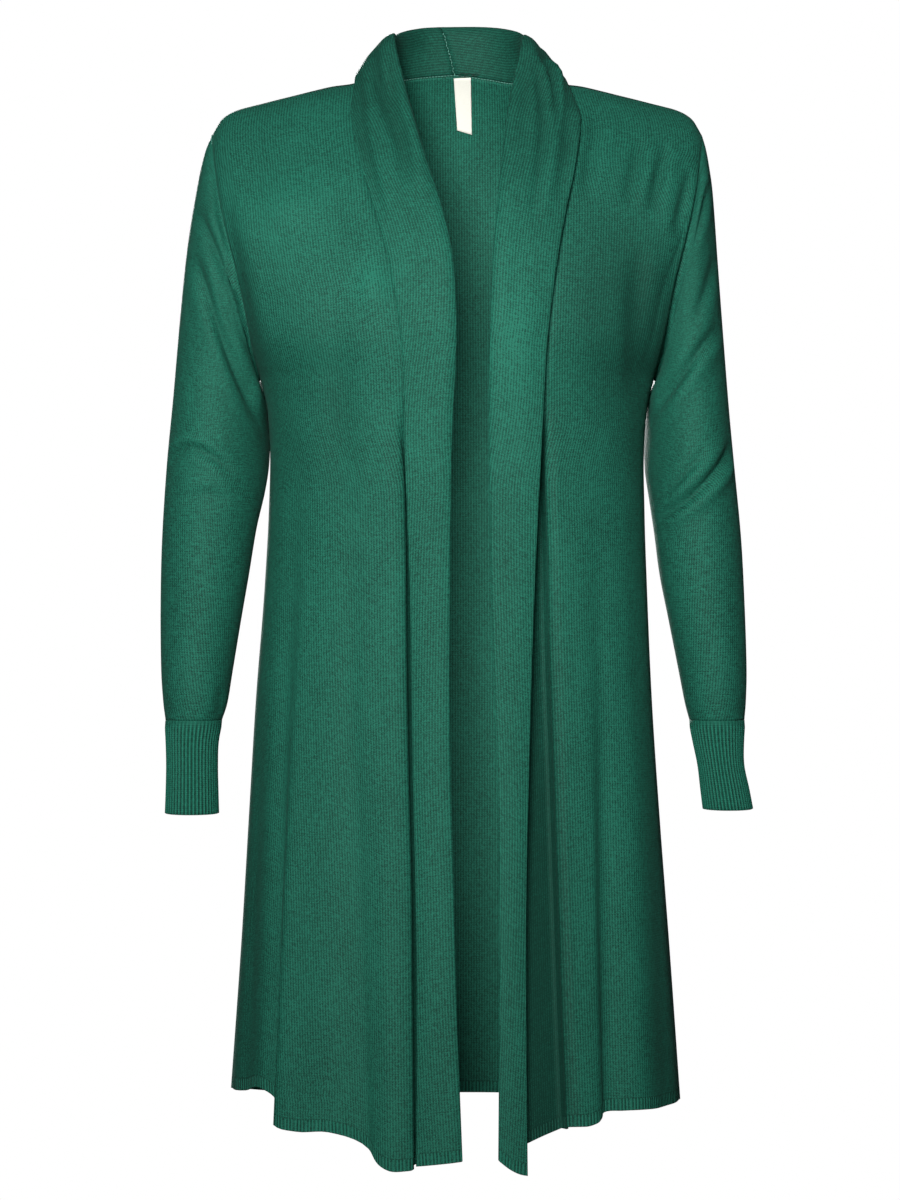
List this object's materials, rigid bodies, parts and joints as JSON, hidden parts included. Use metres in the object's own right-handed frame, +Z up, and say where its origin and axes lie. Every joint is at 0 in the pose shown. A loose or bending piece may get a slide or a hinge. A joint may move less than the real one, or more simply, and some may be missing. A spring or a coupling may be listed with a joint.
{
  "type": "open-front cardigan",
  "caption": "Long open-front knitted cardigan with a turned-out shawl collar, full sleeves and ribbed cuffs, hollow as worn.",
  "frame": {"origin": "middle of the neck opening, level with the back neck seam, where the garment sits on its wearer's neck and shoulders", "axes": "+Z up along the body, -Y out of the open front, +X towards the wearer's left sleeve"},
  "size_m": [0.5358, 0.2579, 1.0327],
  "materials": {
    "knit": "fine dark green knit, soft sheen",
    "rib_knit": "dark green rib knit",
    "woven_label": "cream satin ribbon, bare"
  },
  "bodies": {
    "root": {"front_right": "knit", "front_left": "knit", "back": "knit", "sleeve_right": "knit", "sleeve_left": "knit", "cuff_right": "rib_knit", "cuff_left": "rib_knit", "neck_label": "woven_label"}
  },
  "joints": []
}
